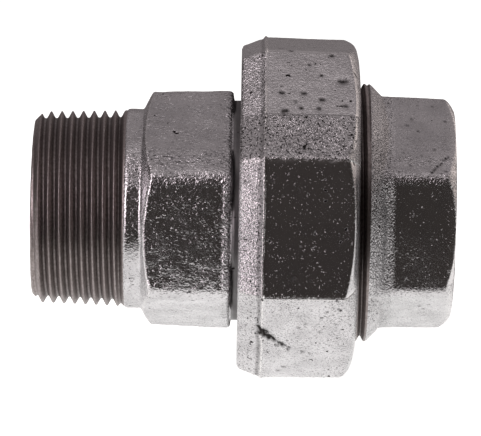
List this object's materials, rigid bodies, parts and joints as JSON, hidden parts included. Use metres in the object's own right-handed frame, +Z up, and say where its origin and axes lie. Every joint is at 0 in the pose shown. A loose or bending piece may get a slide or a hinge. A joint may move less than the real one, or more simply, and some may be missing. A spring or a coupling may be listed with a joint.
{
  "type": "pipe union",
  "caption": "Galvanised malleable iron pipe union, male by female, with an octagonal union nut, hexagonal ends and a flat seat.",
  "frame": {"origin": "on the surface that the union rests on, under the middle of its length and under its axis", "axes": "+X along the water way from the male end to the female end, +Z up, away from the nut flat that it rests on"},
  "size_m": [0.09, 0.0704, 0.0704],
  "materials": {
    "galvanised_body": "hot dip galvanised casting, machined threads",
    "galvanised_nut": "hot dip galvanised casting",
    "galvanised_tailpiece": "hot dip galvanised casting, machined thread",
    "fibre_gasket": "pressed fibre sheet, matt"
  },
  "bodies": {
    "female_body": {"female_body": "galvanised_body"},
    "gasket": {"gasket": "fibre_gasket"},
    "union_nut": {"union_nut": "galvanised_nut"},
    "male_tailpiece": {"male_tailpiece": "galvanised_tailpiece"}
  },
  "joints": [
    {"name": "tail_withdraw", "type": "slide", "parent": "female_body", "child": "gasket", "axis": [-1, 0, 0], "range_m": [0, 0.012]},
    {"name": "nut_turn", "type": "hinge", "parent": "gasket", "child": "union_nut", "pos_m": [0.0134, 0, 0.0341], "axis": [-1, 0, 0], "range_deg": [0, 2160]},
    {"name": "tail_swivel", "type": "hinge", "parent": "gasket", "child": "male_tailpiece", "pos_m": [-0.0118, 0, 0.0341], "axis": [1, 0, 0], "continuous": true}
  ],
  "couplings": [
    {"joint": "tail_withdraw", "follows": "nut_turn", "m_per_rad": 0.00031831}
  ]
}
